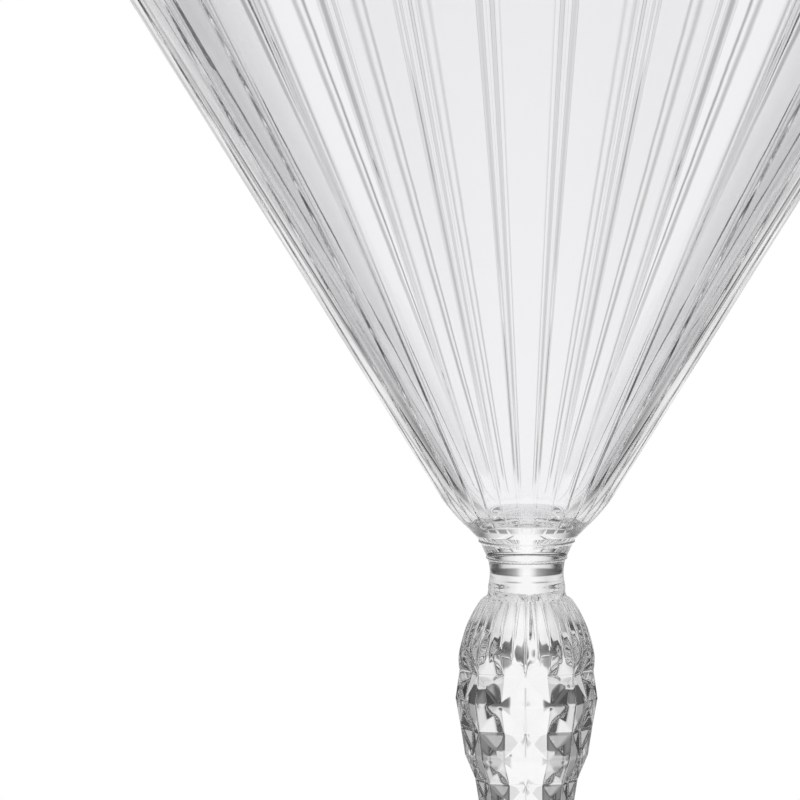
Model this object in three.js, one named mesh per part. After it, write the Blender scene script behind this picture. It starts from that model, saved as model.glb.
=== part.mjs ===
import * as THREE from 'three';

// A stemmed cocktail glass: a ribbed cone bowl, a short collar, a pressed stem
// with petals and diamond points, and a round foot. Everything is clear glass.
// Sizes are millimetres. The axis is +Z and the foot rests on z = 0.

// Foot
const FOOT_RADIUS = 37.5;
const FOOT_HEIGHT = 8;
const FOOT_EDGE = 2.4;
const FOOT_RING_WIDTH = 4.5;
const FOOT_HOLLOW = 1.3;
const FOOT_FLARE_BEND = 3;
const FOOT_DOME_BEND = 24;
const FOOT_DOME_SLOPE = 4.5;

// Stem, from the collar down. A bend is how far a curve keeps its direction.
const NECK_RADIUS = 5.12;
const NECK_LENGTH = 3.4;
const NECK_BEND = 1.8;
const SHOULDER_LENGTH = 14.8;
const SHOULDER_BEND = 11.1;
const BELLY_RADIUS = 9.47;
const BELLY_BEND = 11.3;
const TAPER_LENGTH = 43.4;
const TAPER_BEND = 36.5;
const SLENDER_RADIUS = 4.15;
const SLENDER_BEND = 12;
const ANKLE_LENGTH = 20;
const ANKLE_BEND = 3;
const ANKLE_RADIUS = 5.7;
const ANKLE_FLARE = 24;

// Petals under the neck. The gap between two petals narrows from their tips down.
const PETALS_PER_DIAMOND = 4;
const PETAL_TOP = 4.9;
const PETAL_ARCH = 1.1;
const PETAL_END_ROUND = 0.7;
const PETAL_TOP_DEPTH = 0.45;
const PETAL_LOW_DEPTH = 0.15;
const PETAL_TOP_GAP = 0.74;
const PETAL_LOW_GAP = 0.31;
const PETAL_SPREAD = 0.8;
const NECK_STEP = 1.5;

// Diamond points. Heights and depths hold at the belly and shrink with the radius.
const DIAMONDS_ROUND = 8;
const DIAMOND_ROWS = 7;
const FIRST_ROW = 14.7;
const TOP_POINT_RISE = 3.2;
const ROW_HEIGHT = 3.84;
const CROSSING_DEPTH = 0.4;
const SIDE_DEPTH = 0.6;
const PIT_DEPTH = 1.7;

// Long flutes down to the ankle
const LONG_FLUTE_DEPTH = 0.26;
const LONG_FLUTE_END = 5.7;

// Collar between stem and bowl
const COLLAR_HEIGHT = 2.7;
const BEAD_HEIGHT = 0.5;
const BEAD_DEPTH = 0.16;

// Bowl
const RIM_RADIUS = 57;
const BOWL_HALF_ANGLE = 31.9;
const BOWL_SEAM_RADIUS = 6.35;
const BOWL_CORNER_RADIUS = 10.45;
const BOWL_BASE_HEIGHT = 4.2;
const FLOOR_HEIGHT = 3.4;
const FLOOR_RADIUS = 4.1;
const WELL_RADIUS = 10.3;
const WALL_AT_WELL = 3;
const WALL_AT_RIM = 1.6;

// Ribs of the bowl. Groove width and depth hold at the rim and shrink with the radius.
const RIBS = 32;
const RIB_TURN = 1.6;
const GROOVE_WIDTH = 3.3;
const GROOVE_DEPTH = 0.45;
const LIP_BAND = 0.6;
const RIB_FADE = 0.6;
const RIB_END = 1.6;
const RIB_END_ROUND = 0.8;
const RIB_TIP_HEIGHT = 1.2;

// Smoothness of the faces
const STEPS_PER_RIB = 4;
const STEPS_PER_PETAL = 4;
const ROUND_STEPS = 64;

// Heights of the three seams
const STEM_LENGTH = NECK_LENGTH + SHOULDER_LENGTH + TAPER_LENGTH + ANKLE_LENGTH;
const STEM_BOTTOM = FOOT_HEIGHT;
const COLLAR_BOTTOM = STEM_BOTTOM + STEM_LENGTH;
const BOWL_BOTTOM = COLLAR_BOTTOM + COLLAR_HEIGHT;

const radians = THREE.MathUtils.degToRad;
const mix = THREE.MathUtils.lerp;

// A closed skin made of rings of points, joined one to the next.
function skin() {
  const points = [];
  const faces = [];
  const addPoint = (p) => points.push(p) - 1;
  const addRing = (ring) => ring.map(addPoint);
  const addFace = (a, b, c) => faces.push(a, b, c);
  function addBands(rings) {
    rings.slice(1).forEach((to, level) => {
      const from = rings[level];
      from.forEach((corner, k) => {
        const next = (k + 1) % from.length;
        addFace(corner, from[next], to[next]);
        addFace(corner, to[next], to[k]);
      });
    });
  }
  function addStart(ring, height) {
    const middle = addPoint(new THREE.Vector3(0, 0, height));
    ring.forEach((corner, k) => addFace(middle, ring[(k + 1) % ring.length], corner));
  }
  function addEnd(ring, height) {
    const middle = addPoint(new THREE.Vector3(0, 0, height));
    ring.forEach((corner, k) => addFace(corner, ring[(k + 1) % ring.length], middle));
  }
  function geometry() {
    const shape = new THREE.BufferGeometry();
    const flat = points.flatMap((p) => [p.x, p.y, p.z]);
    shape.setAttribute('position', new THREE.Float32BufferAttribute(flat, 3));
    shape.setIndex(faces);
    shape.computeVertexNormals();
    return shape;
  }
  return { addPoint, addRing, addFace, addBands, addStart, addEnd, geometry };
}

function polar(radius, angle, height) {
  return new THREE.Vector3(radius * Math.cos(angle), radius * Math.sin(angle), height);
}

function circle(count, radiusAt, heightAt) {
  return Array.from({ length: count }, (_, k) =>
    polar(radiusAt(k), (2 * Math.PI * k) / count, heightAt(k)));
}

// A round piece turned from [radius, height] steps, closed flat at startHeight
// and at the height of its last step.
function turned(profile, startHeight) {
  const body = skin();
  const rings = profile.map(([radius, height]) =>
    body.addRing(circle(ROUND_STEPS, () => radius, () => height)));
  body.addStart(rings[0], startHeight);
  body.addBands(rings);
  body.addEnd(rings.at(-1), profile.at(-1)[1]);
  return body.geometry();
}

// A curve from one [radius, height] point to another, leaving and arriving by
// the handles given as [radius, height] offsets.
function bend(from, leave, arrive, to) {
  return new THREE.CubicBezierCurve(
    new THREE.Vector2(...from),
    new THREE.Vector2(from[0] + leave[0], from[1] + leave[1]),
    new THREE.Vector2(to[0] + arrive[0], to[1] + arrive[1]),
    new THREE.Vector2(...to),
  );
}

// Radius at a height on a stack of curves that rise one above the other.
function radiusOn(curves) {
  const halvings = 40;
  return (height) => {
    const curve = curves.find((one) => height <= one.v3.y) ?? curves.at(-1);
    let low = 0;
    let high = 1;
    for (let round = 0; round < halvings; round += 1) {
      const middle = (low + high) / 2;
      if (curve.getPoint(middle).y < height) low = middle;
      else high = middle;
    }
    return curve.getPoint(high).x;
  };
}

const flareOut = Math.sin(radians(ANKLE_FLARE));
const flareUp = Math.cos(radians(ANKLE_FLARE));

// The foot: a low dome on a flat resting ring, hollowed a little underneath.
function footShape() {
  const edgeRound = FOOT_EDGE / 2;
  const ringOuter = FOOT_RADIUS - edgeRound;
  const ringInner = ringOuter - FOOT_RING_WIDTH;
  const hollow = [0.35, 0.7, 1].map((share) =>
    [ringInner * share, FOOT_HOLLOW * (1 - share * share)]);
  const edge = [-90, -45, 0, 45].map((angle) => [
    ringOuter + edgeRound * Math.cos(radians(angle)),
    edgeRound + edgeRound * Math.sin(radians(angle)),
  ]);
  const slope = radians(FOOT_DOME_SLOPE);
  const dome = bend(
    [ringOuter, FOOT_EDGE],
    [-FOOT_DOME_BEND * Math.cos(slope), FOOT_DOME_BEND * Math.sin(slope)],
    [FOOT_FLARE_BEND * flareOut, -FOOT_FLARE_BEND * flareUp],
    [ANKLE_RADIUS, FOOT_HEIGHT],
  );
  const top = dome.getPoints(9).map((p) => [p.x, p.y]);
  return turned([...hollow, ...edge, ...top], FOOT_HOLLOW);
}

// The collar: a short cone of glass with a fine bead at each seam.
function collarShape() {
  const beadSteps = [0, 0.25, 0.5, 0.75, 1];
  const up = [
    ...beadSteps.map((step) => step * BEAD_HEIGHT),
    ...beadSteps.map((step) => COLLAR_HEIGHT - BEAD_HEIGHT + step * BEAD_HEIGHT),
  ];
  const profile = up.map((height, k) => {
    const cone = mix(NECK_RADIUS, BOWL_SEAM_RADIUS, height / COLLAR_HEIGHT);
    const bead = BEAD_DEPTH * Math.sin(Math.PI * beadSteps[k % beadSteps.length]);
    return [cone + bead, COLLAR_BOTTOM + height];
  });
  return turned(profile, COLLAR_BOTTOM);
}

// The outline of the stem as a radius for each height.
function stemOutline() {
  const slender = STEM_BOTTOM + ANKLE_LENGTH;
  const belly = slender + TAPER_LENGTH;
  const neck = belly + SHOULDER_LENGTH;
  return radiusOn([
    bend([ANKLE_RADIUS, STEM_BOTTOM], [-ANKLE_BEND * flareOut, ANKLE_BEND * flareUp],
      [0, -SLENDER_BEND], [SLENDER_RADIUS, slender]),
    bend([SLENDER_RADIUS, slender], [0, TAPER_BEND], [0, -BELLY_BEND], [BELLY_RADIUS, belly]),
    bend([BELLY_RADIUS, belly], [0, SHOULDER_BEND], [0, -NECK_BEND], [NECK_RADIUS, neck]),
    bend([NECK_RADIUS, neck], [0, 0], [0, 0], [NECK_RADIUS, COLLAR_BOTTOM]),
  ]);
}

// A quarter round that rises from 0 to 1, as a share.
const quarterRound = (share) => Math.sqrt(1 - (1 - share) ** 2);

// The stem: smooth neck, leaf petals, rows of diamond points, long flutes.
function stemShape() {
  const outline = stemOutline();
  const columns = 2 * DIAMONDS_ROUND;
  const stepsPerColumn = (PETALS_PER_DIAMOND / 2) * STEPS_PER_PETAL;
  const steps = columns * stepsPerColumn;
  const scaleAt = (height) => outline(height) / BELLY_RADIUS;

  const rowHeight = [COLLAR_BOTTOM - FIRST_ROW];
  for (let row = 1; row <= DIAMOND_ROWS; row += 1) {
    const above = rowHeight[row - 1];
    rowHeight.push(above - ROW_HEIGHT * scaleAt(above));
  }
  const lastRow = DIAMOND_ROWS - 1;
  const topCorner = rowHeight[0] + TOP_POINT_RISE;
  const lowCorner = rowHeight[DIAMOND_ROWS];
  const isCrossing = (column, row) => (column + row) % 2 === 0;

  // Diamond points stand on even columns and odd rows. The columns between them
  // lie deeper, with a pit in the middle of each four diamonds.
  function depthOf(column, row) {
    if (column % 2 === 0) return row % 2 === 0 ? CROSSING_DEPTH : 0;
    return row % 2 === 0 ? PIT_DEPTH : SIDE_DEPTH;
  }
  const radiusOf = (column, row) =>
    outline(rowHeight[row]) - depthOf(column, row) * scaleAt(rowHeight[row]);

  const body = skin();
  const lattice = rowHeight.slice(0, DIAMOND_ROWS).map((height, row) =>
    body.addRing(circle(columns, (column) => radiusOf(column, row), () => height)));

  // Faces of the diamonds: each cell is split from its crossing to its side.
  for (let row = 0; row < lastRow; row += 1) {
    const high = lattice[row];
    const low = lattice[row + 1];
    for (let column = 0; column < columns; column += 1) {
      const next = (column + 1) % columns;
      if (isCrossing(column, row)) {
        body.addFace(low[column], low[next], high[column]);
        body.addFace(high[column], low[next], high[next]);
      } else {
        body.addFace(low[column], low[next], high[next]);
        body.addFace(high[column], low[column], high[next]);
      }
    }
  }

  // A zigzag edge: its corners stand between the crossings of a row, and it
  // runs straight from each corner to the crossings on either side.
  function zigzag(row, cornerHeight) {
    const isCorner = (column) => !isCrossing(column, row);
    const place = (column) => {
      const angle = (2 * Math.PI * column) / columns;
      if (isCorner(column)) return polar(outline(cornerHeight), angle, cornerHeight);
      return polar(radiusOf(column, row), angle, rowHeight[row]);
    };
    return lattice[row].flatMap((crossing, column) => {
      const here = place(column);
      const there = place(column + 1);
      const start = isCorner(column) ? body.addPoint(here) : crossing;
      const between = Array.from({ length: stepsPerColumn - 1 }, (_, k) =>
        body.addPoint(here.clone().lerp(there, (k + 1) / stepsPerColumn)));
      return [start, ...between];
    });
  }

  // Half diamonds between a zigzag edge and the low points of its row.
  function fillHalves(row, edge, upward) {
    lattice[row].forEach((point, column) => {
      if (isCrossing(column, row)) return;
      for (let side = -stepsPerColumn; side < stepsPerColumn; side += 1) {
        const at = column * stepsPerColumn + side + steps;
        const pair = [edge[at % steps], edge[(at + 1) % steps]];
        if (upward) pair.reverse();
        body.addFace(point, ...pair);
      }
    });
  }
  const upperEdge = zigzag(0, topCorner);
  const lowerEdge = zigzag(lastRow, lowCorner);
  fillHalves(0, upperEdge, true);
  fillHalves(lastRow, lowerEdge, false);

  // Height of a zigzag edge at each step round the stem.
  const edgeHeight = (row, cornerHeight) => (step) => {
    const along = (step % (2 * stepsPerColumn)) / stepsPerColumn;
    const fromFirst = 1 - Math.abs(1 - along);
    const toCorner = isCrossing(0, row) ? fromFirst : 1 - fromFirst;
    return mix(rowHeight[row], cornerHeight, toCorner);
  };

  // Petals: leaves with arched tips, parted by grooves that narrow downward.
  // A share runs from the tips at 0 to the zigzag edge at 1.
  const petalTip = COLLAR_BOTTOM - PETAL_TOP;
  const petalAngle = (2 * Math.PI) / (PETALS_PER_DIAMOND * DIAMONDS_ROUND);
  const petalEdge = edgeHeight(0, topCorner);
  function petalRing(share) {
    const spread = Math.min(1, share / PETAL_SPREAD);
    const gap = mix(PETAL_TOP_GAP, PETAL_LOW_GAP, spread);
    const depth = mix(PETAL_TOP_DEPTH, PETAL_LOW_DEPTH, spread);
    return body.addRing(Array.from({ length: steps }, (_, step) => {
      const inGroove = step % STEPS_PER_PETAL === 0;
      const petal = Math.floor(step / STEPS_PER_PETAL);
      const tip = inGroove ? petalTip - PETAL_ARCH : petalTip;
      const height = mix(tip, petalEdge(step), share);
      const plain = 1 - gap / (petalAngle * outline(height));
      const across = [-1, -plain, 0, plain][step % STEPS_PER_PETAL];
      const rise = inGroove ? 0 : quarterRound(Math.min(1, (tip - height) / PETAL_END_ROUND));
      return polar(outline(height) - depth * (1 - rise), petalAngle * (petal + (1 + across) / 2), height);
    }));
  }
  const petals = [0.8, 0.6, 0.4, 0.2, 0.08, 0.03, 0].map(petalRing);

  // Long flutes, each hollow between two ridges.
  const fluteEnd = STEM_BOTTOM + LONG_FLUTE_END;
  const fluteEdge = edgeHeight(lastRow, lowCorner);
  const longFlutes = [0.05, 0.14, 0.32, 0.55, 0.8].map((share) => {
    const heightAt = (step) => mix(fluteEnd, fluteEdge(step), share);
    const fade = Math.sin(Math.PI * Math.sqrt(share));
    const hollow = (step) => Math.sin((Math.PI * (step % stepsPerColumn)) / stepsPerColumn);
    return body.addRing(circle(steps, (step) =>
      outline(heightAt(step)) - LONG_FLUTE_DEPTH * fade * hollow(step), heightAt));
  });

  const plainRing = (height, depth) =>
    body.addRing(circle(steps, () => outline(height) - depth, () => height));
  const ankle = [0, 0.3, 0.6, 1].map((share) => plainRing(mix(STEM_BOTTOM, fluteEnd, share), 0));
  const neck = [
    plainRing(petalTip + NECK_STEP / 2, PETAL_TOP_DEPTH / 2),
    plainRing(petalTip + NECK_STEP, 0),
    plainRing(COLLAR_BOTTOM, 0),
  ];

  body.addStart(ankle[0], STEM_BOTTOM);
  body.addBands([...ankle, ...longFlutes, lowerEdge]);
  body.addBands([upperEdge, ...petals, ...neck]);
  body.addEnd(neck.at(-1), COLLAR_BOTTOM);
  return body.geometry();
}

// The bowl: a ribbed cone on a chamfered base, smooth inside with a round well.
function bowlShape() {
  const lean = Math.tan(radians(BOWL_HALF_ANGLE));
  const corner = BOWL_BOTTOM + BOWL_BASE_HEIGHT;
  const rim = corner + (RIM_RADIUS - BOWL_CORNER_RADIUS) / lean;
  const ribAngle = (2 * Math.PI) / RIBS;
  const plain = 1 - GROOVE_WIDTH / (ribAngle * RIM_RADIUS);
  const places = [-1, -plain, 0, plain];

  // The groove between two ribs ends in rounded rib tips below and at the lip above.
  function grooveDepth(radius, height, step) {
    const inGroove = step % STEPS_PER_RIB === 0;
    const tip = BOWL_BOTTOM + RIB_END + (inGroove ? RIB_TIP_HEIGHT : 0);
    const rise = quarterRound(THREE.MathUtils.clamp((height - tip) / RIB_END_ROUND, 0, 1));
    const fade = THREE.MathUtils.smoothstep(height, rim - LIP_BAND - RIB_FADE, rim - LIP_BAND);
    const rib = inGroove ? 0 : rise;
    return (GROOVE_DEPTH / RIM_RADIUS) * radius * (1 - rib) * (1 - fade);
  }

  // Outside: [radius, height]
  const onBase = (up) => [
    mix(BOWL_SEAM_RADIUS, BOWL_CORNER_RADIUS, up / BOWL_BASE_HEIGHT),
    BOWL_BOTTOM + up,
  ];
  const onCone = (height) => [RIM_RADIUS - (rim - height) * lean, height];
  const outside = [
    onBase(0),
    onBase(RIB_END),
    onBase(RIB_END + RIB_END_ROUND / 3),
    onBase(RIB_END + RIB_END_ROUND),
    onBase(BOWL_BASE_HEIGHT),
    onCone(rim - LIP_BAND - RIB_FADE),
    onCone(rim - LIP_BAND),
  ];

  // Lip: a half round from the outside over to the inside.
  const lipRound = WALL_AT_RIM / 2;
  const lip = [0, 45, 90, 135, 180].map((angle) => [
    RIM_RADIUS - lipRound + lipRound * Math.cos(radians(angle)),
    rim - lipRound + lipRound * Math.sin(radians(angle)),
  ]);

  // Inside: straight down to the well, then a curve to the level floor.
  const floor = BOWL_BOTTOM + FLOOR_HEIGHT;
  const wellTop = corner + (WELL_RADIUS + WALL_AT_WELL - BOWL_CORNER_RADIUS) / lean;
  const [lipRadius, lipHeight] = lip.at(-1);
  const innerLean = (lipRadius - WELL_RADIUS) / (lipHeight - wellTop);
  const well = new THREE.QuadraticBezierCurve(
    new THREE.Vector2(WELL_RADIUS, wellTop),
    new THREE.Vector2(WELL_RADIUS - (wellTop - floor) * innerLean, floor),
    new THREE.Vector2(FLOOR_RADIUS, floor),
  );
  const inside = well.getPoints(6).map((p) => [p.x, p.y]);

  const body = skin();
  const ring = (depthAt) => ([radius, height]) =>
    body.addRing(Array.from({ length: RIBS * STEPS_PER_RIB }, (_, step) => {
      const rib = Math.floor(step / STEPS_PER_RIB) + places[step % STEPS_PER_RIB] / 2;
      return polar(radius - depthAt(radius, height, step), radians(RIB_TURN) + ribAngle * rib, height);
    }));
  const rings = [
    ...outside.map(ring(grooveDepth)),
    ...[...lip, ...inside].map(ring(() => 0)),
  ];
  body.addStart(rings[0], BOWL_BOTTOM);
  body.addBands(rings);
  body.addEnd(rings.at(-1), floor);
  return body.geometry();
}

function piece(name, geometry, color, roughness) {
  const material = new THREE.MeshStandardMaterial({ color, roughness, metalness: 0 });
  const mesh = new THREE.Mesh(geometry, material);
  mesh.name = name;
  return mesh;
}

const glass = new THREE.Group();
glass.name = 'cocktail_glass';
glass.add(piece('foot', footShape(), 0xdfe6e8, 0.04));
glass.add(piece('stem', stemShape(), 0xe6ebee, 0.05));
glass.add(piece('collar', collarShape(), 0xdde4e6, 0.04));
glass.add(piece('bowl', bowlShape(), 0xe9eef0, 0.04));

export default glass;
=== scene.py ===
# %% [markdown]
# # A pressed cocktail glass, dressed in Blender
# The glass has four pieces that are fused hot: a foot, a pressed stem, a collar and a ribbed cone bowl.
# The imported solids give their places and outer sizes. Here each piece gets a finer skin and one clear
# glass, and then stands in studio light.

import math

import bpy
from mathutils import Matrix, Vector


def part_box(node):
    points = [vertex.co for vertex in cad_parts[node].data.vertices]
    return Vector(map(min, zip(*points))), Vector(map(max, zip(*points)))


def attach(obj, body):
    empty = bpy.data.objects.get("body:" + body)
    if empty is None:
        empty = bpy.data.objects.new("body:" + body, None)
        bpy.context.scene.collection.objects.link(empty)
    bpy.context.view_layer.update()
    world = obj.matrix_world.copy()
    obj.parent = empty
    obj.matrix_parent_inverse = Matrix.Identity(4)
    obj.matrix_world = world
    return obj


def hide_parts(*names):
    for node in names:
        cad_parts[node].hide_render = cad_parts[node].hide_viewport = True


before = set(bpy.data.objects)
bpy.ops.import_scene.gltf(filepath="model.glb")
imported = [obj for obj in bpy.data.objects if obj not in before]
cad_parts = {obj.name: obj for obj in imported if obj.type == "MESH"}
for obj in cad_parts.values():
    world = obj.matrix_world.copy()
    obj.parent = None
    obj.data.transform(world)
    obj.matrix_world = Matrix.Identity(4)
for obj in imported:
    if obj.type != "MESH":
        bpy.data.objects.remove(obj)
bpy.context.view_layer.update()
MM = 0.001

# %% [markdown]
# ## Levels taken from the frame
# The pieces meet on three flat seams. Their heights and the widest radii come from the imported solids, so
# a piece drawn here always lands on its neighbour. The other sizes are the driving dimensions of the
# curves.

# %% Seam levels and radii
_, FOOT_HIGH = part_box("foot")
STEM_LOW, STEM_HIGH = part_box("stem")
BOWL_LOW, BOWL_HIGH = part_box("bowl")
FOOT_RADIUS = FOOT_HIGH.x
BELLY_RADIUS = STEM_HIGH.x
RIM_RADIUS = BOWL_HIGH.x
STEM_BOTTOM = STEM_LOW.z
COLLAR_BOTTOM = STEM_HIGH.z
BOWL_BOTTOM = BOWL_LOW.z
RIM = BOWL_HIGH.z
print(f"seams at {STEM_BOTTOM:.4f}, {COLLAR_BOTTOM:.4f} and {BOWL_BOTTOM:.4f} m, rim at {RIM:.4f} m")


# %% [markdown]
# ## Small tools for curves
# A turned outline is easiest to read as a few Bezier curves, each leaving and arriving along a handle.
# The stem also needs the radius at any height, which halving steps find on the same curves.

# %% Curves
def mix(a, b, share):
    return a + (b - a) * share


def bezier(start, leave, arrive, end):
    """A curve of (radius, height) from start to end, with handles given as offsets from the ends."""
    points = [Vector(start), Vector(start) + Vector(leave), Vector(end) + Vector(arrive), Vector(end)]

    def at(t):
        u = 1 - t
        weights = (u ** 3, 3 * u * u * t, 3 * u * t * t, t ** 3)
        return sum((w * p for w, p in zip(weights, points)), Vector((0, 0)))

    return at


def samples(curve, steps):
    return [curve(k / steps) for k in range(steps + 1)]


def radius_on(curves):
    """The radius at a height, on curves that rise one above the other."""
    HALVINGS = 40

    def radius(height):
        curve = next((c for c in curves if height <= c(1).y), curves[-1])
        low, high = 0.0, 1.0
        for _ in range(HALVINGS):
            middle = (low + high) / 2
            if curve(middle).y < height:
                low = middle
            else:
                high = middle
        return curve(high).x

    return radius


# %% [markdown]
# ## Sectors and the ring that repeats them
# Ribs, flutes and diamonds repeat evenly round the axis. One sector is drawn as a plain mesh, and a
# Geometry Nodes tree sets copies of it round a ring, welds them, and softens the pressed edges the way
# fire polish does. Drawing the whole ring point by point would give the same mesh, but the count would
# not stay a named input.

# %% The sector mesh
def polar(radius, angle, height):
    return Vector((radius * math.cos(angle), radius * math.sin(angle), height))


def sheet_faces(rows, first):
    """Quads between rows of points that have the same length, facing away from the axis when rows go up."""
    width = len(rows[0])
    faces = []
    for level in range(len(rows) - 1):
        for k in range(width - 1):
            a = first + level * width + k
            faces.append((a, a + 1, a + 1 + width, a + width))
    return faces


class Sector:
    """Points and faces, gathered sheet by sheet, with the share of polish that each point takes."""

    def __init__(self):
        self.points, self.faces, self.soft = [], [], []

    def add_sheet(self, rows):
        """A sheet of quads that the polish leaves as it is."""
        self.faces += sheet_faces(rows, len(self.points))
        for row in rows:
            self.points += row
            self.soft += [0.0] * len(row)

    def add_facet(self, a, b, c, steps):
        """A flat triangle cut into small ones, so that the polish can round its edges."""
        index = {}
        for i in range(steps + 1):
            for j in range(steps + 1 - i):
                index[i, j] = len(self.points)
                self.points.append(a + (b - a) * (i / steps) + (c - a) * (j / steps))
                self.soft.append(1.0)
        for i in range(steps):
            for j in range(steps - i):
                self.faces.append((index[i, j], index[i + 1, j], index[i, j + 1]))
                if j < steps - i - 1:
                    self.faces.append((index[i + 1, j], index[i + 1, j + 1], index[i, j + 1]))

    def object(self, name):
        mesh = bpy.data.meshes.new(name)
        mesh.from_pydata(self.points, [], self.faces)
        soft = mesh.attributes.new("soft", "FLOAT", "POINT")
        soft.data.foreach_set("value", self.soft)
        made = bpy.data.objects.new(name, mesh)
        bpy.context.scene.collection.objects.link(made)
        return made


# %% Helpers for node trees
def add_node(tree, kind, inputs=None, **settings):
    """Adds a node. An input that is given a socket is linked, any other gets the value itself."""
    node = tree.nodes.new(kind)
    for key, value in settings.items():
        setattr(node, key, value)
    for key, given in (inputs or {}).items():
        if isinstance(given, bpy.types.NodeSocket):
            tree.links.new(given, node.inputs[key])
        else:
            node.inputs[key].default_value = given
    return node


def add_math(tree, operation, *given):
    """The result of a Math node, from one or two numbers or sockets."""
    return add_node(tree, "ShaderNodeMath", dict(enumerate(given)), operation=operation).outputs[0]


# %% A node tree that repeats a sector
def ring_tree():
    tree = bpy.data.node_groups.new("ring_of_sectors", "GeometryNodeTree")
    wanted = {"Sector": "Geometry", "Copies": "Int", "Weld distance": "Float", "Polish passes": "Int",
              "Glass": "Material"}
    for name, kind in wanted.items():
        tree.interface.new_socket(name, in_out="INPUT", socket_type="NodeSocket" + kind)
    tree.interface.new_socket("Piece", in_out="OUTPUT", socket_type="NodeSocketGeometry")
    given = tree.nodes.new("NodeGroupInput").outputs

    line = add_node(tree, "GeometryNodeMeshLine", {"Count": given["Copies"], "Offset": (0, 0, 0)},
                    mode="OFFSET")
    index = add_node(tree, "GeometryNodeInputIndex")
    step = add_math(tree, "DIVIDE", math.tau, given["Copies"])
    angle = add_math(tree, "MULTIPLY", index.outputs[0], step)
    turn = add_node(tree, "ShaderNodeCombineXYZ", {"Z": angle})
    copies = add_node(tree, "GeometryNodeInstanceOnPoints",
                      {"Points": line.outputs[0], "Instance": given["Sector"], "Rotation": turn.outputs[0]})
    real = add_node(tree, "GeometryNodeRealizeInstances", {"Geometry": copies.outputs[0]})
    weld = add_node(tree, "GeometryNodeMergeByDistance",
                    {"Geometry": real.outputs[0], "Distance": given["Weld distance"]})
    place = add_node(tree, "GeometryNodeInputPosition")
    soft = add_node(tree, "GeometryNodeInputNamedAttribute", {"Name": "soft"}, data_type="FLOAT")
    polish = add_node(tree, "GeometryNodeBlurAttribute",
                      {"Value": place.outputs[0], "Iterations": given["Polish passes"],
                       "Weight": soft.outputs[0]}, data_type="FLOAT_VECTOR")
    moved = add_node(tree, "GeometryNodeSetPosition",
                     {"Geometry": weld.outputs[0], "Position": polish.outputs[0]})
    glassy = add_node(tree, "GeometryNodeSetMaterial",
                      {"Geometry": moved.outputs[0], "Material": given["Glass"]})
    add_node(tree, "NodeGroupOutput", {"Piece": glassy.outputs[0]})
    return tree


RING = ring_tree()
print("tree:", RING.name, [item.name for item in RING.interface.items_tree])


# %% [markdown]
# ## The glass
# The real thing is clear soda-lime glass, pressed in an iron mould and fire polished. Its refractive index
# is about 1.52, it has next to no colour at this thickness, and its skin has a faint waviness from the
# mould. A Glass shader would look alike; the Principled shader is used, with the same values. Faces inside
# a fused joint are not a surface at all, so they let light straight through.

# %% Materials
def linear(hex_colour):
    """An sRGB hex colour as linear RGBA."""
    parts = [int(hex_colour[k:k + 2], 16) / 255 for k in (1, 3, 5)]
    return [p / 12.92 if p <= 0.04045 else ((p + 0.055) / 1.055) ** 2.4 for p in parts] + [1.0]


def new_material(name):
    material = bpy.data.materials.new(name)
    material.use_nodes = True
    material.node_tree.nodes.clear()
    return material, material.node_tree


def soda_lime_glass():
    WAVE_LENGTH = 4.0 * MM
    WAVE_HEIGHT = 0.002 * MM
    GLASS_TINT = "#FDFDFE"
    GLASS_IOR = 1.52
    material, tree = new_material("clear_soda_lime_glass")
    spot = add_node(tree, "ShaderNodeTexCoord")
    waves = add_node(tree, "ShaderNodeTexNoise",
                     {"Vector": spot.outputs["Object"], "Scale": 1 / WAVE_LENGTH, "Detail": 1.0})
    skin = add_node(tree, "ShaderNodeBump",
                    {"Height": waves.outputs["Fac"], "Strength": 1.0, "Distance": WAVE_HEIGHT})
    shader = add_node(tree, "ShaderNodeBsdfPrincipled",
                      {"Base Color": linear(GLASS_TINT), "Roughness": 0.0, "IOR": GLASS_IOR,
                       "Transmission Weight": 1.0, "Normal": skin.outputs[0]})
    add_node(tree, "ShaderNodeOutputMaterial", {"Surface": shader.outputs[0]})
    return material


def fused_joint():
    material, tree = new_material("fused_joint")
    shader = add_node(tree, "ShaderNodeBsdfTransparent")
    add_node(tree, "ShaderNodeOutputMaterial", {"Surface": shader.outputs[0]})
    return material


GLASS = soda_lime_glass()
JOINT = fused_joint()
print("materials:", GLASS.name, JOINT.name)


# %% [markdown]
# ## From a sector to a piece
# On the real glass a piece is one skin of glass up to the seam where it was fused. The ring tree could
# stay live on each piece, but the seam faces need a material of their own, so its result is taken as a
# plain mesh first.

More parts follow.
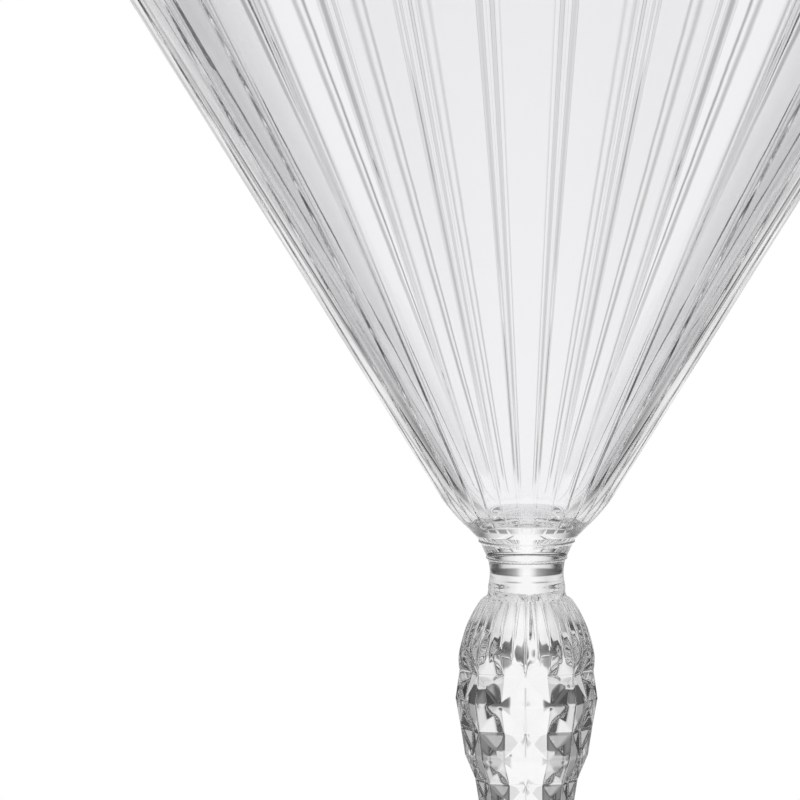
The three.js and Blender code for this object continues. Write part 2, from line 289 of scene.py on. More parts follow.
# %% Finishing a piece
def finish_piece(sector, name, copies, polish, seams):
    """Repeats the sector, makes the result a plain mesh, and marks the faces that lie in a fused seam."""
    WELD_DISTANCE = 0.004 * MM
    SEAM_REACH = 0.02 * MM
    LEVEL_NORMAL = 0.99
    SHARP_FROM = math.radians(38)
    modifier = sector.modifiers.new("ring", "NODES")
    modifier.node_group = RING
    inputs = {item.name: item.identifier for item in RING.interface.items_tree if item.in_out == "INPUT"}
    modifier[inputs["Copies"]] = copies
    modifier[inputs["Weld distance"]] = WELD_DISTANCE
    modifier[inputs["Polish passes"]] = polish
    modifier[inputs["Glass"]] = GLASS
    evaluated = sector.evaluated_get(bpy.context.evaluated_depsgraph_get())
    mesh = bpy.data.meshes.new_from_object(evaluated)
    bpy.data.objects.remove(sector)
    mesh.name = name
    mesh.materials.clear()
    mesh.materials.append(GLASS)
    mesh.materials.append(JOINT)
    for face in mesh.polygons:
        face.use_smooth = True
        at_seam = any(abs(face.center.z - seam) < SEAM_REACH for seam in seams)
        face.material_index = 1 if at_seam and abs(face.normal.z) > LEVEL_NORMAL else 0
    mesh.set_sharp_from_angle(angle=SHARP_FROM)
    piece = bpy.data.objects.new(name, mesh)
    bpy.context.scene.collection.objects.link(piece)
    joined = sum(face.material_index for face in mesh.polygons)
    print(f"{name}: {len(mesh.polygons)} faces, {joined} of them in a fused joint")
    return piece


# %% [markdown]
# ## Foot
# A disc spun out of a gather of hot glass: a low dome that flares up into the stem, a round edge, and a
# flat ring underneath that keeps the middle off the table. A Screw modifier could spin its outline. The
# ring tree is at hand and treats all pieces alike, so a narrow slice of the outline is repeated instead.

# %% Slices of turned pieces
TURNED_SLICES = 32


def turned_sector(profile):
    """A slice of a turned piece, from (radius, height) points that start and end on the axis."""
    SLICE_STEPS = 6
    sector = Sector()
    angles = [math.tau / TURNED_SLICES * (k / SLICE_STEPS) for k in range(SLICE_STEPS + 1)]
    sector.add_sheet([[polar(r, a, z) for a in angles] for r, z in profile])
    return sector


def arc(centre, radius, first, last, steps):
    """Points (radius, height) on an arc, with angles in degrees from the outward direction."""
    angles = [math.radians(mix(first, last, k / steps)) for k in range(steps + 1)]
    return [Vector((centre[0] + radius * math.cos(a), centre[1] + radius * math.sin(a))) for a in angles]


# %% Foot
FOOT_EDGE = 2.4 * MM
FOOT_RING_WIDTH = 4.5 * MM
FOOT_HOLLOW = 1.3 * MM
ANKLE_RADIUS = 5.7 * MM
ANKLE_FLARE = math.radians(24)
# Down and outward, as the ankle flares into the foot.
FLARE = Vector((math.sin(ANKLE_FLARE), -math.cos(ANKLE_FLARE)))


def foot_profile():
    """Points (radius, height) out along the hollow and the ring, round the edge and up the dome."""
    DOME_SLOPE = math.radians(4.5)
    DOME_BEND = 24 * MM
    FLARE_BEND = 3 * MM
    HOLLOW_STEPS = 14
    EDGE_STEPS = 12
    DOME_STEPS = 36
    edge_round = FOOT_EDGE / 2
    ring_outer = FOOT_RADIUS - edge_round
    ring_inner = ring_outer - FOOT_RING_WIDTH
    shares = [k / HOLLOW_STEPS for k in range(HOLLOW_STEPS + 1)]
    hollow = [Vector((ring_inner * s, FOOT_HOLLOW * (1 - s * s))) for s in shares]
    edge = arc((ring_outer, edge_round), edge_round, -90, 90, EDGE_STEPS)
    leave = (-DOME_BEND * math.cos(DOME_SLOPE), DOME_BEND * math.sin(DOME_SLOPE))
    dome = bezier((ring_outer, FOOT_EDGE), leave, FLARE * FLARE_BEND, (ANKLE_RADIUS, STEM_BOTTOM))
    return hollow + edge + samples(dome, DOME_STEPS)[1:] + [Vector((0, STEM_BOTTOM))]


foot = finish_piece(turned_sector(foot_profile()).object("foot_sector"), "foot_glass",
                    copies=TURNED_SLICES, polish=0, seams=[STEM_BOTTOM])

# %% [markdown]
# ## Collar
# Two bright rings show where the bowl and the stem were stuck to a short cone of glass. Each ring is a
# fine bead that was squeezed out at the seam. A torus laid on the cone would leave a crease and faces
# inside the glass, so the beads are swellings of the cone's own outline.

# %% Collar
NECK_RADIUS = 5.12 * MM
BOWL_SEAM_RADIUS = 6.35 * MM
BEAD_HEIGHT = 0.5 * MM
BEAD_DEPTH = 0.16 * MM


def collar_profile():
    """Points (radius, height) across the lower seam, up the cone with its two beads, and back inward."""
    BEAD_STEPS = 10
    WALL_STEPS = 6
    height = BOWL_BOTTOM - COLLAR_BOTTOM
    bead = [BEAD_HEIGHT * k / BEAD_STEPS for k in range(BEAD_STEPS + 1)]
    middle = [mix(BEAD_HEIGHT, height - BEAD_HEIGHT, k / WALL_STEPS) for k in range(1, WALL_STEPS)]
    levels = bead + middle + [height - BEAD_HEIGHT + b for b in bead]

    def bulge(level):
        in_bead = min(level, height - level) / BEAD_HEIGHT
        return BEAD_DEPTH * math.sin(math.pi * in_bead) if in_bead < 1 else 0.0

    wall = [Vector((mix(NECK_RADIUS, BOWL_SEAM_RADIUS, v / height) + bulge(v), COLLAR_BOTTOM + v))
            for v in levels]
    return [Vector((0, COLLAR_BOTTOM))] + wall + [Vector((0, BOWL_BOTTOM))]


collar = finish_piece(turned_sector(collar_profile()).object("collar_sector"), "collar_glass",
                      copies=TURNED_SLICES, polish=0, seams=[COLLAR_BOTTOM, BOWL_BOTTOM])

# %% [markdown]
# ## Outline of the stem
# The stem is one pressing. From the foot up it has a flared ankle, a long taper, a belly with a shoulder
# above it, and a short neck with a slight waist. Sculpting could shape it too, but four curves give the
# radius at any height, and the diamonds, petals and flutes are all measured inward from that.

# %% Stem outline
NECK_LENGTH = 3.4 * MM
NECK_WAIST = 0.3 * MM
SHOULDER_LENGTH = 14.8 * MM
SLENDER_RADIUS = 4.15 * MM
ANKLE_LENGTH = 20 * MM
ANKLE_BEND = 3 * MM
ANKLE_EASE = 12 * MM
TAPER_EASE = 36.5 * MM
BELLY_EASE_LOW = 11.3 * MM
BELLY_EASE_HIGH = 11.1 * MM
SHOULDER_EASE = 1.8 * MM
WAIST_EASE = 1.1 * MM
NECK_LEVEL = COLLAR_BOTTOM - NECK_LENGTH
BELLY_LEVEL = NECK_LEVEL - SHOULDER_LENGTH
SLENDER_LEVEL = STEM_BOTTOM + ANKLE_LENGTH
ankle = (ANKLE_RADIUS, STEM_BOTTOM)
slender = (SLENDER_RADIUS, SLENDER_LEVEL)
belly = (BELLY_RADIUS, BELLY_LEVEL)
neck = (NECK_RADIUS, NECK_LEVEL)
neck_top = (NECK_RADIUS, COLLAR_BOTTOM)
outline = radius_on([
    bezier(ankle, FLARE * -ANKLE_BEND, (0, -ANKLE_EASE), slender),
    bezier(slender, (0, TAPER_EASE), (0, -BELLY_EASE_LOW), belly),
    bezier(belly, (0, BELLY_EASE_HIGH), (0, -SHOULDER_EASE), neck),
    bezier(neck, (-NECK_WAIST, WAIST_EASE), (-NECK_WAIST, -WAIST_EASE), neck_top),
])
waist = outline(NECK_LEVEL + NECK_LENGTH / 2)
print(f"neck radius {outline(NECK_LEVEL):.5f} m, {waist:.5f} m in its waist")

# %% [markdown]
# ## Diamond points
# Rows of pointed diamonds cover the belly, with a pit between each four of them. A cutter's wheel would
# grind them out of a turned bar, and boolean cuts could copy that. The corners of the pattern are known
# exactly, so each face is drawn as a flat triangle between three of them, cut small so that the polish
# can round its edges. An eighth of the stem is drawn, which is two columns of the pattern, and then
# repeated.

# %% The pattern of points
DIAMONDS_ROUND = 8
DIAMOND_ROWS = 7
ROW_HEIGHT = 3.84 * MM
CROSSING_DEPTH = 0.4 * MM
SIDE_DEPTH = 0.6 * MM
PIT_DEPTH = 1.7 * MM
TOP_POINT_RISE = 3.2 * MM
FIRST_ROW_DROP = 14.7 * MM
FIRST_ROW = COLLAR_BOTTOM - FIRST_ROW_DROP
COLUMN = math.pi / DIAMONDS_ROUND
COLUMN_STEPS = 20

row_level = [FIRST_ROW]
for row in range(DIAMOND_ROWS):
    row_level.append(row_level[-1] - ROW_HEIGHT * outline(row_level[-1]) / BELLY_RADIUS)
LAST_ROW = DIAMOND_ROWS - 1
TOP_CORNER = FIRST_ROW + TOP_POINT_RISE
LOW_CORNER = row_level[DIAMOND_ROWS]


def lattice_point(column, row):
    """A peak on even columns in odd rows, a pit on odd columns in even rows, and lesser depths between."""
    if column % 2 == 0:
        depth = CROSSING_DEPTH if row % 2 == 0 else 0.0
    else:
        depth = PIT_DEPTH if row % 2 == 0 else SIDE_DEPTH
    radius = outline(row_level[row])
    return polar(radius - depth * radius / BELLY_RADIUS, column * COLUMN, row_level[row])


def corner_point(level):
    """The tip of the pattern above or below a pit, on the outline itself."""
    return polar(outline(level), COLUMN, level)


print(f"diamonds from {LOW_CORNER:.4f} to {TOP_CORNER:.4f} m")


# %% Diamond faces
def add_diamonds(sector):
    """Two flat faces in each square of the pattern, and two more at the tip above it and the tip below."""
    for row in range(LAST_ROW):
        for column in (0, 1):
            high, high_next = lattice_point(column, row), lattice_point(column + 1, row)
            low, low_next = lattice_point(column, row + 1), lattice_point(column + 1, row + 1)
            if (column + row) % 2 == 0:
                sector.add_facet(low, low_next, high, COLUMN_STEPS)
                sector.add_facet(high, low_next, high_next, COLUMN_STEPS)
            else:
                sector.add_facet(low, low_next, high_next, COLUMN_STEPS)
                sector.add_facet(high, low, high_next, COLUMN_STEPS)
    top, low = corner_point(TOP_CORNER), corner_point(LOW_CORNER)
    for column in (0, 2):
        ends = [lattice_point(column, 0), lattice_point(1, 0), top]
        feet = [lattice_point(column, LAST_ROW), low, lattice_point(1, LAST_ROW)]
        if column == 2:
            ends.reverse()
            feet.reverse()
        sector.add_facet(*ends, COLUMN_STEPS)
        sector.add_facet(*feet, COLUMN_STEPS)


def zigzag_point(row, corner_level, step):
    """A point on the zigzag where diamonds end, at a step across the two columns of a sector."""
    crossing, corner = lattice_point(0, row), corner_point(corner_level)
    if step > COLUMN_STEPS:
        crossing = lattice_point(2, row)
    return crossing.lerp(corner, 1 - abs(1 - step / COLUMN_STEPS))


# %% [markdown]
# ## Petals and neck
# Above the diamonds stands a ring of petals with arched tips, raised a little from the neck, with gaps
# that narrow downward. They end on the zigzag of the topmost diamonds. Extruded petals would have to be
# trimmed along that zigzag, while rows of points that run from the tips onto it close without a gap.

# %% Petal shape
PETALS_PER_DIAMOND = 4
PETAL_DROP = 4.9 * MM
PETAL_TOP = COLLAR_BOTTOM - PETAL_DROP
PETAL_ARCH = 1.1 * MM
PETAL_TOP_GAP = 0.74 * MM
PETAL_LOW_GAP = 0.31 * MM
PETAL_SPREAD = 0.8
PETAL_PLAIN_STEPS = 4
PETAL_FLANK_STEPS = 3
PETAL_ANGLE = 2 * COLUMN / PETALS_PER_DIAMOND


def petal_places(plain):
    """Places across a petal from -1 to 1, gathered on the flanks that round down to the gaps."""
    middle = [plain * (2 * step / PETAL_PLAIN_STEPS - 1) for step in range(PETAL_PLAIN_STEPS + 1)]
    steps = range(1, PETAL_FLANK_STEPS + 1)
    flank = [mix(plain, 1.0, math.sin(math.pi / 2 * step / PETAL_FLANK_STEPS)) for step in steps]
    return [-place for place in reversed(flank)] + middle + flank


def petal_height(across, plain):
    """The height of a petal across its width, as a share: plain in the middle, rounded to the gaps."""
    flank = max(0.0, (abs(across) - plain) / (1 - plain))
    return math.sqrt(max(0.0, 1 - flank * flank))


def petal_plain(share, level):
    """The part of a petal's width that is plain, beside the gap that narrows from the tips down."""
    gap = mix(PETAL_TOP_GAP, PETAL_LOW_GAP, min(1.0, share / PETAL_SPREAD))
    return 1 - gap / (PETAL_ANGLE * outline(level))


def petal_place(step, plain):
    """Which petal a step falls on, and how far across it."""
    per_petal = 2 * COLUMN_STEPS // PETALS_PER_DIAMOND
    return step // per_petal, petal_places(plain)[step % per_petal]


def petal_start(across, plain):
    """The height at which a petal begins, highest in the middle of its arched tip."""
    return PETAL_TOP - PETAL_ARCH * (1 - petal_height(across, plain))


print(f"{DIAMONDS_ROUND * PETALS_PER_DIAMOND} petals, {petal_plain(0.0, PETAL_TOP):.2f} of a tip is plain")

# %% Rows of points on petals and neck
PETAL_TOP_DEPTH = 0.45 * MM
PETAL_LOW_DEPTH = 0.15 * MM
PETAL_END_ROUND = 0.7 * MM
NECK_STEP = 1.5 * MM
EDGE_BLEND = 0.25


def petal_rows(shares):
    """Rows of points on the petals, from their arched tips at share 0 to the zigzag edge at share 1."""
    rows = []
    for share in shares:
        line = []
        for step in range(2 * COLUMN_STEPS + 1):
            edge = zigzag_point(0, TOP_CORNER, step)
            plain = petal_plain(share, mix(PETAL_TOP, edge.z, share))
            depth = mix(PETAL_TOP_DEPTH, PETAL_LOW_DEPTH, min(1.0, share / PETAL_SPREAD))
            petal, across = petal_place(step, plain)
            start = petal_start(across, plain)
            level = mix(start, edge.z, share)
            rise = min(1.0, (start - level) / PETAL_END_ROUND)
            height = petal_height(across, plain) * math.sqrt(1 - (1 - rise) ** 2)
            to_edge = max(0.0, 1 - (1 - share) / EDGE_BLEND)
            radius = mix(outline(level) - depth * (1 - height), math.hypot(edge.x, edge.y), to_edge ** 2)
            angle = mix(PETAL_ANGLE * (petal + (1 + across) / 2), math.atan2(edge.y, edge.x), to_edge)
            line.append(polar(radius, angle, level))
        rows.append(line)
    return rows


def neck_rows(shares):
    """Rows of points from the tips of the petals at share 0 up to the plain seam at share 1."""
    plain = petal_plain(0.0, PETAL_TOP)
    rows = []
    for share in shares:
        line = []
        for step in range(2 * COLUMN_STEPS + 1):
            petal, across = petal_place(step, plain)
            level = mix(petal_start(across, plain), COLLAR_BOTTOM, share)
            fade = min(1.0, max(0.0, (PETAL_TOP + NECK_STEP - level) / NECK_STEP))
            radius = outline(level) - PETAL_TOP_DEPTH * fade * fade * (3 - 2 * fade)
            line.append(polar(radius, PETAL_ANGLE * (petal + (1 + across) / 2), level))
        rows.append(line)
    return rows


# %% [markdown]
# ## Long flutes
# Below the diamonds shallow flutes run down the taper and end in arches above the ankle. Round cutters
# laid along the taper could hollow them out. Rows of points from the arches up to the zigzag of the
# lowest diamonds do the same as the petals above, and the plain ankle below them closes the stem down to
# its seam.

# %% Flutes and ankle
LONG_FLUTE_DEPTH = 0.26 * MM
LONG_FLUTE_ARCH = 2.5 * MM
LONG_FLUTE_RISE = 5.7 * MM
LONG_FLUTE_END = STEM_BOTTOM + LONG_FLUTE_RISE


def off_middle(step):
    """How far a point is from the middle of its flute, 0 in the middle and 1 on the ridge."""
    return abs(2 * (step % COLUMN_STEPS) / COLUMN_STEPS - 1)


def arch_level(step):
    """The height at which a flute ends above the ankle, lowest in its middle."""
    return LONG_FLUTE_END + LONG_FLUTE_ARCH * off_middle(step) ** 2


def flute_rows(shares):
    """Rows of points from the arched end of each flute at share 0 to the zigzag edge at share 1."""
    rows = []
    for share in shares:
        line = []
        for step in range(2 * COLUMN_STEPS + 1):
            edge = zigzag_point(LAST_ROW, LOW_CORNER, step)
            level = mix(arch_level(step), edge.z, share)
            cut = min(1.0, abs(level - LONG_FLUTE_END) / LONG_FLUTE_ARCH)
            radius = outline(level) - LONG_FLUTE_DEPTH * max(0.0, cut - off_middle(step) ** 2)
            to_edge = max(0.0, 1 - (1 - share) / EDGE_BLEND)
            radius = mix(radius, math.hypot(edge.x, edge.y), to_edge ** 2)
            angle = mix(COLUMN * step / COLUMN_STEPS, math.atan2(edge.y, edge.x), to_edge)
            line.append(polar(radius, angle, level))
        rows.append(line)
    return rows


def ankle_rows(shares):
    """Rows of points on the plain ankle, from the arches at share 0 down to the level seam at share 1."""
    rows = []
    for share in shares:
        line = []
        for step in range(2 * COLUMN_STEPS + 1):
            level = mix(arch_level(step), STEM_BOTTOM, share)
            line.append(polar(outline(level), COLUMN * step / COLUMN_STEPS, level))
        rows.append(line)
    return rows


# %% Stem
def stem_sector():
    PETAL_ROWS = 34
    TIP_GATHER = 1.7
    FLUTE_ROWS = 64
    PLAIN_ROWS = 20
    petal_shares = [(1 - k / PETAL_ROWS) ** TIP_GATHER for k in range(PETAL_ROWS + 1)]
    flute_shares = [k / FLUTE_ROWS for k in range(FLUTE_ROWS + 1)]
    plain_shares = [k / PLAIN_ROWS for k in range(PLAIN_ROWS + 1)]
    sector = Sector()
    add_diamonds(sector)
    sector.add_sheet(petal_rows(petal_shares))
    sector.add_sheet(flute_rows(flute_shares))
    sector.add_sheet(neck_rows(plain_shares))
    sector.add_sheet(ankle_rows(plain_shares[::-1]))
    top, bottom = neck_rows([1.0])[0], ankle_rows([1.0])[0]
    sector.add_sheet([top, [Vector((0, 0, COLLAR_BOTTOM))] * len(top)])
    sector.add_sheet([[Vector((0, 0, STEM_BOTTOM))] * len(bottom), bottom])
    return sector


stem = finish_piece(stem_sector().object("stem_sector"), "stem_glass",
                    copies=DIAMONDS_ROUND, polish=1, seams=[STEM_BOTTOM, COLLAR_BOTTOM])

# %% [markdown]
# ## Ribs of the bowl
# The cone was pressed with 32 plain ribs on the outside and a shallow soft groove between each two. They
# run down round a chamfered base and end there in round tips. A bump in the shader could fake the
# grooves, but it would not bend light on its way through, so they are real shape. One rib is drawn and
# repeated.

# %% Rib section
RIBS = 32
RIB_FADE = 0.6 * MM
RIB_END = 1.6 * MM
RIB_END_ROUND = 0.8 * MM
RIB_TIP_HEIGHT = 1.2 * MM
LIP_BAND = 0.6 * MM
GROOVE_WIDTH = 3.4 * MM
GROOVE_SOFT = 0.4
PLAIN_STEPS = 4
FLANK_STEPS = 9
RIB_PLAIN = 1 - GROOVE_WIDTH * RIBS / (math.tau * RIM_RADIUS)


def groove_rise(share):
    """The way up from the bottom of a groove to its edge: a straight flank, rounded at both ends."""
    if share < GROOVE_SOFT:
        rise = share * share / (2 * GROOVE_SOFT)
    elif share < 1 - GROOVE_SOFT:
        rise = share - GROOVE_SOFT / 2
    else:
        rise = 1 - GROOVE_SOFT - (1 - share) ** 2 / (2 * GROOVE_SOFT)
    return rise / (1 - GROOVE_SOFT)


def groove_places():
    """Places across a rib from -1 to 1, close together on the flanks, with one more inside each edge."""
    EDGE_GUARD = 0.02
    flank = [mix(1.0, RIB_PLAIN, k / FLANK_STEPS) for k in range(FLANK_STEPS + 1)]
    plain = [mix(RIB_PLAIN - EDGE_GUARD, 0.0, k / PLAIN_STEPS) for k in range(PLAIN_STEPS)]
    half = flank + plain
    return [-place for place in half] + [0.0] + half[::-1]


def rib_height(across, level):
    """The rib's height at a place across it, as a share: soft flanks, a round tip below and a plain lip."""
    flat_top = groove_rise(min(1.0, (1 - abs(across)) / (1 - RIB_PLAIN)))
    tip = BOWL_BOTTOM + RIB_END + RIB_TIP_HEIGHT * (1 - flat_top)
    rise = min(1.0, max(0.0, (level - tip) / RIB_END_ROUND))
    round_tip = math.sqrt(1 - (1 - rise) ** 2)
    fall = min(1.0, max(0.0, (RIM - LIP_BAND - level) / RIB_FADE))
    lip = 1 - fall * fall * (3 - 2 * fall)
    return mix(flat_top * round_tip, 1.0, lip)


print(f"{RIBS} ribs, {RIB_PLAIN:.2f} of each is plain")

# %% [markdown]
# ## Bowl
# The inside is a smooth cone, so the drink wipes clean, with a round well at the bottom. The wall gets
# thinner toward a round lip. A Solidify modifier would give one thickness everywhere, so the outside and
# the inside are two outlines. Extra rows close to each bend keep its smooth shading from spreading over
# the plain wall.

# %% Bowl outlines
BOWL_CORNER_RADIUS = 10.45 * MM
BOWL_BASE_HEIGHT = 4.2 * MM
CORNER_ROUND = 1.6 * MM
FLOOR_HEIGHT = 3.4 * MM
FLOOR_RADIUS = 4.1 * MM
WELL_RADIUS = 10.3 * MM
WALL_AT_WELL = 3 * MM
WALL_AT_RIM = 1.6 * MM
GUARD = 0.1 * MM


def round_turn(start, corner, end):
    """A curve that rounds off a corner and runs straight on into the lines on both sides of it."""
    REACH = 2 / 3
    return bezier(start, (corner - start) * REACH, (corner - end) * REACH, end)


def bowl_outside():
    """Points (radius, height) from the seam, round the corner of the base and up the cone to the lip."""
    BASE_STEPS = 14
    TURN_STEPS = 20
    CONE_STEPS = 10
    FADE_STEPS = 12
    seam = Vector((BOWL_SEAM_RADIUS, BOWL_BOTTOM))
    corner = Vector((BOWL_CORNER_RADIUS, BOWL_BOTTOM + BOWL_BASE_HEIGHT))
    edge = Vector((RIM_RADIUS, RIM))
    low = corner + (seam - corner).normalized() * CORNER_ROUND
    high = corner + (edge - corner).normalized() * CORNER_ROUND
    base = [seam.lerp(low, k / BASE_STEPS) for k in range(BASE_STEPS)]
    turn = samples(round_turn(low, corner, high), TURN_STEPS)
    lean = (edge.x - corner.x) / (edge.y - corner.y)
    fade_start = RIM - LIP_BAND - RIB_FADE
    lip_level = RIM - WALL_AT_RIM / 2
    cone_levels = [mix(high.y + GUARD, fade_start - GUARD, k / CONE_STEPS) for k in range(CONE_STEPS + 1)]
    fade_levels = [mix(fade_start, lip_level, k / FADE_STEPS) for k in range(FADE_STEPS)]
    cone = [(corner.x + (z - corner.y) * lean, z) for z in cone_levels + fade_levels]
    return [tuple(p) for p in base + turn] + cone


def bowl_inside():
    """Points (radius, height) over the lip, down the cone and through the well to the axis."""
    LIP_STEPS = 12
    WALL_STEPS = 8
    WELL_STEPS = 16
    lean = (RIM_RADIUS - BOWL_CORNER_RADIUS) / (RIM - BOWL_BOTTOM - BOWL_BASE_HEIGHT)
    floor = BOWL_BOTTOM + FLOOR_HEIGHT
    well_top = BOWL_BOTTOM + BOWL_BASE_HEIGHT + (WELL_RADIUS + WALL_AT_WELL - BOWL_CORNER_RADIUS) / lean
    lip_round = WALL_AT_RIM / 2
    lip = arc((RIM_RADIUS - lip_round, RIM - lip_round), lip_round, 0, 180, LIP_STEPS)
    inner_lean = (lip[-1].x - WELL_RADIUS) / (lip[-1].y - well_top)
    guard_share = GUARD / (lip[-1].y - well_top)
    shares = [guard_share] + [k / WALL_STEPS for k in range(1, WALL_STEPS)]
    wall = [(mix(lip[-1].x, WELL_RADIUS, k), mix(lip[-1].y, well_top, k)) for k in shares]
    corner = Vector((WELL_RADIUS - (well_top - floor) * inner_lean, floor))
    turn = round_turn(Vector((WELL_RADIUS, well_top)), corner, Vector((FLOOR_RADIUS, floor)))
    well = [tuple(p) for p in samples(turn, WELL_STEPS)]
    return [tuple(p) for p in lip] + wall + well + [(0.0, floor)]


print(f"{len(bowl_outside())} rows of points outside and {len(bowl_inside())} inside")

# %% Bowl
GROOVE_DEPTH = 0.25 * MM
GROOVE_TAPER = 0.7
RIB_TURN = math.radians(0.9)


def bowl_sector():
    """One rib wide, up the grooved outside, over the lip and down the smooth inside."""
    half = math.pi / RIBS
    places = groove_places()
    rows = []
    for radius, level in [(0.0, BOWL_BOTTOM)] + bowl_outside():
        depth = GROOVE_DEPTH * (radius / RIM_RADIUS) ** GROOVE_TAPER
        line = []
        for across in places:
            groove = depth * (1 - rib_height(across, level))
            line.append(polar(radius - groove, RIB_TURN + half * across, level))
        rows.append(line)
    for radius, level in bowl_inside():
        rows.append([polar(radius, RIB_TURN + half * across, level) for across in places])
    sector = Sector()
    sector.add_sheet(rows)
    return sector


bowl = finish_piece(bowl_sector().object("bowl_sector"), "bowl_glass",
                    copies=RIBS, polish=0, seams=[BOWL_BOTTOM])

# %% [markdown]
# ## Fit the pieces to the frame
# On the real glass all four pieces are fused into one. So each dressed piece stands for its solid, rides
# on the one body of the part, and takes the same glass finish. Joining them into one mesh would lose that
# match.

# %% Riding and replacing
for piece, node in ((foot, "foot"), (stem, "stem"), (collar, "collar"), (bowl, "bowl")):
    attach(piece, "root")
    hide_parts(node)
print("pieces:", [p.name for p in (foot, stem, collar, bowl)])


# %% [markdown]
# ## Studio
# Clear glass is drawn by what stands behind and beside it. A white backdrop fills the middle and falls
# off to dark cards on each side, and soft light comes back further round. At the height seen through the
# bowl the white part is narrower, so that a groove that bends light only a little still shows as a soft
# grey band. Just below, a pale table keeps the glass clear from other sides, and steeply below it is
# dark, which draws the edges. Cards and lamps could stand in the scene, but the world gives all of this
# by direction, with no object to hide. The camera itself sees plain white, and the floor gets plain soft
# light.

# %% Nodes for light by direction
def blend(tree, share, a, b):
    return add_node(tree, "ShaderNodeMix", {"Factor": share, "A": a, "B": b}).outputs["Result"]


def smooth_step(tree, value, start, end, first=0.0, last=1.0):
    """A level that goes softly from first to last while the value goes from start to end."""
    limits = {"From Min": start, "From Max": end, "To Min": first, "To Max": last}
    return add_node(tree, "ShaderNodeMapRange", {**limits, "Value": value},
                    interpolation_type="SMOOTHSTEP").outputs[0]


def grey_ramp(tree, share, stops):
    """Greys by direction, from stops of (degrees to the side of the backdrop's middle, grey level)."""
    ramp = add_node(tree, "ShaderNodeValToRGB", {"Fac": share})
    elements = ramp.color_ramp.elements
    while len(elements) < len(stops):
        elements.new(0.5)
    for element, (degrees, level) in zip(elements, stops):
        element.position = degrees / 180
        element.color = (level, level, level, 1.0)
    return ramp.outputs[0]


def seen_in_glass(tree):
    """1 for a ray that was mirrored by glass or came through it, 0 for any other."""
    path = add_node(tree, "ShaderNodeLightPath")
    return add_math(tree, "MAXIMUM", path.outputs["Is Glossy Ray"], path.outputs["Is Transmission Ray"])


# %% World
# Stops pair degrees to the side with a grey level. The heights below are angles above the horizon.
STUDIO_STOPS = [(9, 1.0), (20, 0.84), (28, 0.66), (34, 0.30), (40, 0.05), (58, 0.04), (64, 0.1), (72, 0.55),
                (90, 0.55), (100, 0.2), (110, 0.08), (180, 0.08)]
STRIP_STOPS = [(3, 1.0), (5, 0.91), (7, 0.82), (9, 0.66), (12, 0.44), (17, 0.30), (25, 0.17), (40, 0.05),
               (58, 0.04), (64, 0.1), (72, 0.55), (90, 0.55), (100, 0.2), (110, 0.08), (180, 0.08)]
STUDIO_TURN = math.radians(0.9)
STRIP_FOOT = math.radians(-12)
STRIP_FULL_LOW = math.radians(-10)
STRIP_FULL_HIGH = math.radians(1)
STRIP_TOP = math.radians(5)
CARD_FOOT = math.radians(-9)
UNDER_CARD = math.radians(-12.5)
UNDER_LEVEL = 0.78
STEEP_START = math.radians(-19)
STEEP_FULL = math.radians(-24)
STEEP_LEVEL = 0.05
PLAIN_LEVEL = 0.9


def studio_world():
    world = bpy.data.worlds.new("bright_field_studio")
    world.use_nodes = True
    tree = world.node_tree
    tree.nodes.clear()
    spot = add_node(tree, "ShaderNodeTexCoord")
    axes = add_node(tree, "ShaderNodeSeparateXYZ", {0: spot.outputs["Generated"]}).outputs
    azimuth = add_math(tree, "ADD", add_math(tree, "ARCTAN2", axes["X"], axes["Y"]), STUDIO_TURN)
    share = add_math(tree, "DIVIDE", add_math(tree, "ABSOLUTE", azimuth), math.pi)
    height = add_math(tree, "ARCSINE", axes["Z"])

    above_foot = smooth_step(tree, height, STRIP_FOOT, STRIP_FULL_LOW)
    below_top = smooth_step(tree, height, STRIP_TOP, STRIP_FULL_HIGH)
    in_strip = add_math(tree, "MULTIPLY", above_foot, below_top)
    cards = blend(tree, in_strip, grey_ramp(tree, share, STUDIO_STOPS), grey_ramp(tree, share, STRIP_STOPS))
    table = smooth_step(tree, height, STEEP_START, STEEP_FULL, UNDER_LEVEL, STEEP_LEVEL)
    lit_below = add_math(tree, "MAXIMUM", cards, table)
    studio = blend(tree, smooth_step(tree, height, CARD_FOOT, UNDER_CARD), cards, lit_below)

    level = blend(tree, seen_in_glass(tree), PLAIN_LEVEL, studio)
    path = add_node(tree, "ShaderNodeLightPath")
    seen = blend(tree, path.outputs["Is Camera Ray"], level, 1.0)
    white = add_node(tree, "ShaderNodeBackground", {"Color": linear("#FFFFFF"), "Strength": seen})
    add_node(tree, "ShaderNodeOutputWorld", {"Surface": white.outputs[0]})
    return world


bpy.context.scene.world = studio_world()
print("world:", bpy.context.scene.world.name)

# %% [markdown]
# ## Floor and lamp
# A pale round floor catches the shadow close to the foot and fades out into the white, so no edge shows.
# A plane out to the horizon would show a line where it meets the white. Seen in or through glass the
# floor stays pale, because a real foot lets light through to it. One soft lamp from above gives the shadow
# a side.

# %% Floor
STUDIO_FLOOR_RADIUS = 0.14
FADE_FROM = 0.05
FLOOR_PAINT = "#F2F2F2"
FLOOR_ROUGHNESS = 0.7
FLOOR_IN_GLASS = 0.85


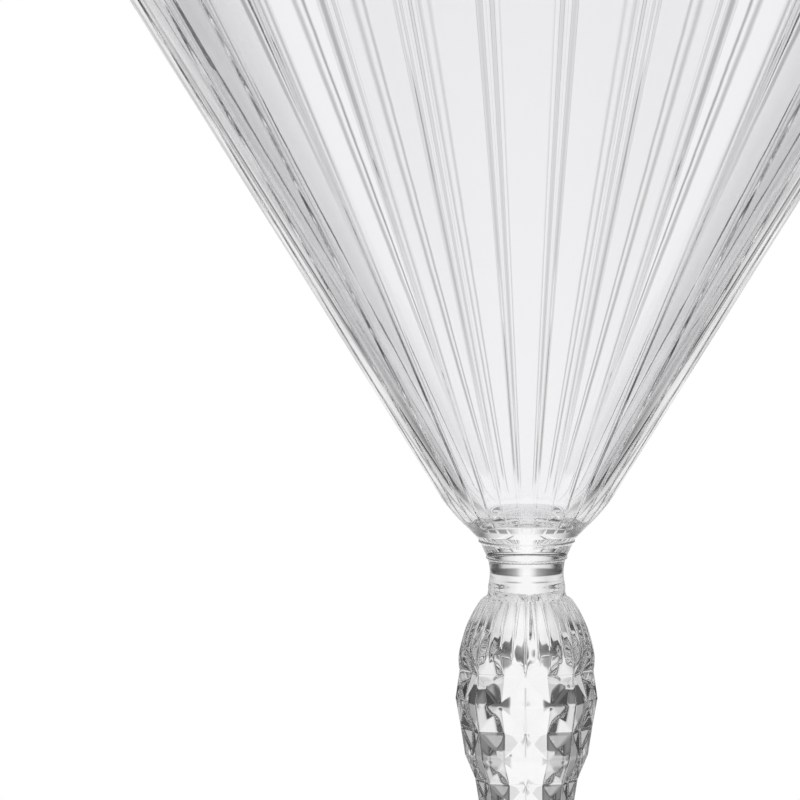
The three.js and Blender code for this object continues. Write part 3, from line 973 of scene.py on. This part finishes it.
def floor_material():
    material, tree = new_material("pale_studio_floor")
    spot = add_node(tree, "ShaderNodeTexCoord")
    away = add_node(tree, "ShaderNodeVectorMath", {0: spot.outputs["Object"]}, operation="LENGTH")
    fade = smooth_step(tree, away.outputs["Value"], FADE_FROM, STUDIO_FLOOR_RADIUS)
    paint = add_node(tree, "ShaderNodeBsdfPrincipled",
                     {"Base Color": linear(FLOOR_PAINT), "Roughness": FLOOR_ROUGHNESS})
    pale = add_node(tree, "ShaderNodeEmission", {"Color": linear(FLOOR_PAINT), "Strength": FLOOR_IN_GLASS})
    clear = add_node(tree, "ShaderNodeBsdfTransparent")
    shown = add_node(tree, "ShaderNodeMixShader",
                     {0: seen_in_glass(tree), 1: paint.outputs[0], 2: pale.outputs[0]})
    both = add_node(tree, "ShaderNodeMixShader", {0: fade, 1: shown.outputs[0], 2: clear.outputs[0]})
    add_node(tree, "ShaderNodeOutputMaterial", {"Surface": both.outputs[0]})
    return material


def round_floor():
    SIDES = 96
    mesh = bpy.data.meshes.new("studio_floor")
    rim = [polar(STUDIO_FLOOR_RADIUS, math.tau * k / SIDES, 0.0) for k in range(SIDES)]
    mesh.from_pydata(rim, [], [tuple(range(SIDES))])
    mesh.materials.append(floor_material())
    floor = bpy.data.objects.new("studio_floor", mesh)
    bpy.context.scene.collection.objects.link(floor)
    return floor


print(f"{round_floor().name}, {2 * STUDIO_FLOOR_RADIUS:.2f} m across")

# %% Lamp
LAMP_WIDTH = 0.7
LAMP_WATTS = 2.0
LAMP_PLACE = Vector((-0.5, -0.4, 1.1))
LAMP_AIM = Vector((0, 0, 0.08))
lamp = bpy.data.lights.new("overhead_softbox", "AREA")
lamp.shape = "DISK"
lamp.size = LAMP_WIDTH
lamp.energy = LAMP_WATTS
overhead = bpy.data.objects.new("overhead_softbox", lamp)
overhead.location = LAMP_PLACE
overhead.rotation_euler = (LAMP_AIM - LAMP_PLACE).to_track_quat("-Z", "Y").to_euler()
overhead.visible_glossy = False
overhead.visible_transmission = False
bpy.context.scene.collection.objects.link(overhead)
print(f"{overhead.name}, {LAMP_WATTS} W, hidden from the glass")

# %% [markdown]
# ## Camera
# A long lens from a few degrees above, close in on the bowl and the upper stem, with the glass right of
# the middle. A shifted lens could frame it so, and aiming to the left of the axis does it with a plain
# lens.

# %% Camera
FRAME_WIDTH = 0.1059
CAMERA_DISTANCE = 1.4
SENSOR_MM = 36.0
CAMERA_ELEVATION = math.radians(5.75)
CAMERA_AZIMUTH = math.radians(1.6)
AIM = Vector((-0.0168, 0.0, 0.1108))

camera_data = bpy.data.cameras.new("camera")
camera_data.sensor_width = SENSOR_MM
camera_data.lens = SENSOR_MM * CAMERA_DISTANCE / FRAME_WIDTH
camera = bpy.data.objects.new("camera", camera_data)
back = Vector((math.sin(CAMERA_AZIMUTH) * math.cos(CAMERA_ELEVATION),
               -math.cos(CAMERA_AZIMUTH) * math.cos(CAMERA_ELEVATION), math.sin(CAMERA_ELEVATION)))
camera.location = AIM + back * CAMERA_DISTANCE
camera.rotation_euler = (-back).to_track_quat("-Z", "Y").to_euler()
bpy.context.scene.collection.objects.link(camera)
bpy.context.scene.camera = camera
print(f"lens {camera_data.lens:.0f} mm at {CAMERA_DISTANCE} m")

# %% [markdown]
# ## Light paths
# Light in thick glass turns back inside it many times before it leaves. Paths that are cut short end in
# black bands, so they may be long here. Colours stay as they are set, with no film curve.

# %% Light paths
scene = bpy.context.scene
scene.view_settings.view_transform = "Standard"
scene.cycles.max_bounces = 64
scene.cycles.transmission_bounces = 60
scene.cycles.glossy_bounces = 40
print("light may bounce", scene.cycles.max_bounces, "times")
